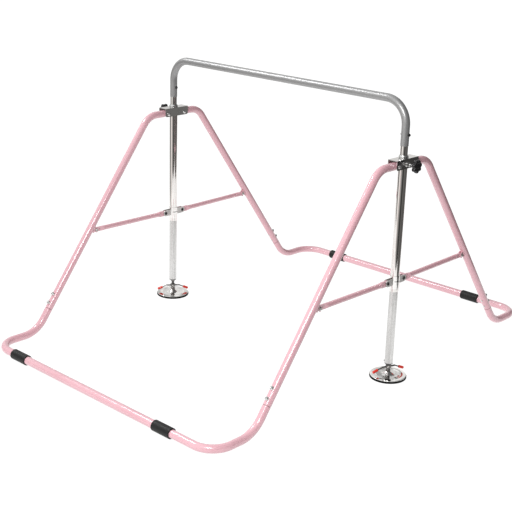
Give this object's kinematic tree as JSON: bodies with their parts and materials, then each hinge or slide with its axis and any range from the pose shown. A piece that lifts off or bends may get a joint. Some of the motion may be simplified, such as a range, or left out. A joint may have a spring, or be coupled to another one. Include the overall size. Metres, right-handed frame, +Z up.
{
  "type": "folding kip bar",
  "caption": "Free-standing gymnastics kip bar: a grip bar of adjustable height on telescopic uprights, held by folding braced legs on a floor frame.",
  "frame": {"origin": "on the floor, midway between the uprights", "axes": "+X along the grip bar to the right, +Y to the back, +Z up"},
  "size_m": [1.396, 1.9698, 1.1056],
  "materials": {
    "satin_grey": "satin grey powder coat",
    "dark_steel": "dark oiled steel",
    "chrome_tube": "bright chrome plate",
    "bright_hardware": "bright zinc plate",
    "dark_chrome": "dark chrome plate",
    "black_plastic": "moulded black nylon",
    "zinc_collar": "satin zinc plate",
    "pink_paint": "glossy pink powder coat",
    "black_rubber": "moulded black rubber",
    "red_plastic": "dipped red vinyl"
  },
  "bodies": {
    "frame": {"guide_bushes": "bright_hardware", "upper_tube_left": "chrome_tube", "upper_tube_right": "chrome_tube", "lower_tube_left": "chrome_tube", "lower_tube_right": "chrome_tube", "bracket_left": "dark_chrome", "bracket_right": "dark_chrome", "bracket_bolts": "bright_hardware", "pivot_washers": "bright_hardware", "knob_bosses": "bright_hardware", "collar_left": "zinc_collar", "collar_right": "zinc_collar", "collar_rivets": "bright_hardware", "foot_plugs": "black_plastic", "foot_studs": "dark_steel", "foot_collars": "dark_steel"},
    "grip": {"grip_bar": "satin_grey", "post_bolts": "dark_steel", "neck_left": "chrome_tube", "neck_right": "chrome_tube"},
    "front_frame": {"leg_front_left": "pink_paint", "leg_front_right": "pink_paint", "lugs_front": "pink_paint", "corner_front_left": "pink_paint", "corner_front_right": "pink_paint", "base_tube_front": "pink_paint", "sleeves_front": "black_rubber", "leg_bolts_front": "bright_hardware"},
    "back_frame": {"leg_back_left": "pink_paint", "leg_back_right": "pink_paint", "lugs_back": "pink_paint", "corner_back_left": "pink_paint", "corner_back_right": "pink_paint", "base_tube_back": "pink_paint", "sleeves_back": "black_rubber", "leg_bolts_back": "bright_hardware"},
    "front_left_strut": {"strut_front_left": "pink_paint", "strut_pin_front_left": "zinc_collar"},
    "front_right_strut": {"strut_front_right": "pink_paint", "strut_pin_front_right": "zinc_collar"},
    "back_left_strut": {"strut_back_left": "pink_paint", "strut_pin_back_left": "zinc_collar"},
    "back_right_strut": {"strut_back_right": "pink_paint", "strut_pin_back_right": "zinc_collar"},
    "knob_left": {"knob_left": "black_plastic", "knob_screw_left": "bright_hardware"},
    "lever_left": {"foot_arms_left": "dark_steel", "foot_tips_left": "red_plastic"},
    "foot_left": {"foot_disc_left": "chrome_tube", "foot_cup_left": "black_rubber"},
    "knob_right": {"knob_right": "black_plastic", "knob_screw_right": "bright_hardware"},
    "lever_right": {"foot_arms_right": "dark_steel", "foot_tips_right": "red_plastic"},
    "foot_right": {"foot_disc_right": "chrome_tube", "foot_cup_right": "black_rubber"}
  },
  "joints": [
    {"name": "bar_height", "type": "slide", "parent": "frame", "child": "grip", "axis": [0, 0, 1], "range_m": [0, 0.35]},
    {"name": "front_fold", "type": "hinge", "parent": "frame", "child": "front_frame", "pos_m": [0, -0.046, 0.855], "axis": [1, 0, 0], "range_deg": [0, 35]},
    {"name": "back_fold", "type": "hinge", "parent": "frame", "child": "back_frame", "pos_m": [0, 0.046, 0.855], "axis": [-1, 0, 0], "range_deg": [0, 35]},
    {"name": "front_left_strut_swing", "type": "hinge", "parent": "frame", "child": "front_left_strut", "pos_m": [-0.625, -0.05, 0.4], "axis": [1, 0, 0], "range_deg": [0, 84]},
    {"name": "front_right_strut_swing", "type": "hinge", "parent": "frame", "child": "front_right_strut", "pos_m": [0.625, -0.05, 0.4], "axis": [1, 0, 0], "range_deg": [0, 84]},
    {"name": "back_left_strut_swing", "type": "hinge", "parent": "frame", "child": "back_left_strut", "pos_m": [-0.625, 0.05, 0.4], "axis": [-1, 0, 0], "range_deg": [0, 84]},
    {"name": "back_right_strut_swing", "type": "hinge", "parent": "frame", "child": "back_right_strut", "pos_m": [0.625, 0.05, 0.4], "axis": [-1, 0, 0], "range_deg": [0, 84]},
    {"name": "knob_left_turn", "type": "hinge", "parent": "frame", "child": "knob_left", "pos_m": [-0.685, 0, 0.8586], "axis": [-1, 0, 0], "continuous": true},
    {"name": "lever_left_turn", "type": "hinge", "parent": "frame", "child": "lever_left", "pos_m": [-0.625, 0, 0.043], "axis": [0, 0, 1], "continuous": true},
    {"name": "foot_left_swivel", "type": "hinge", "parent": "frame", "child": "foot_left", "pos_m": [-0.625, 0, 0.015], "axis": [0, 0, 1], "continuous": true},
    {"name": "knob_right_turn", "type": "hinge", "parent": "frame", "child": "knob_right", "pos_m": [0.685, 0, 0.8586], "axis": [1, 0, 0], "continuous": true},
    {"name": "lever_right_turn", "type": "hinge", "parent": "frame", "child": "lever_right", "pos_m": [0.625, 0, 0.043], "axis": [0, 0, 1], "continuous": true},
    {"name": "foot_right_swivel", "type": "hinge", "parent": "frame", "child": "foot_right", "pos_m": [0.625, 0, 0.015], "axis": [0, 0, 1], "continuous": true}
  ],
  "couplings": [
    {"joint": "back_fold", "follows": "front_fold", "ratio": 1},
    {"joint": "front_left_strut_swing", "follows": "front_fold", "ratio": 2.4},
    {"joint": "front_right_strut_swing", "follows": "front_fold", "ratio": 2.4},
    {"joint": "back_left_strut_swing", "follows": "front_fold", "ratio": 2.4},
    {"joint": "back_right_strut_swing", "follows": "front_fold", "ratio": 2.4}
  ]
}
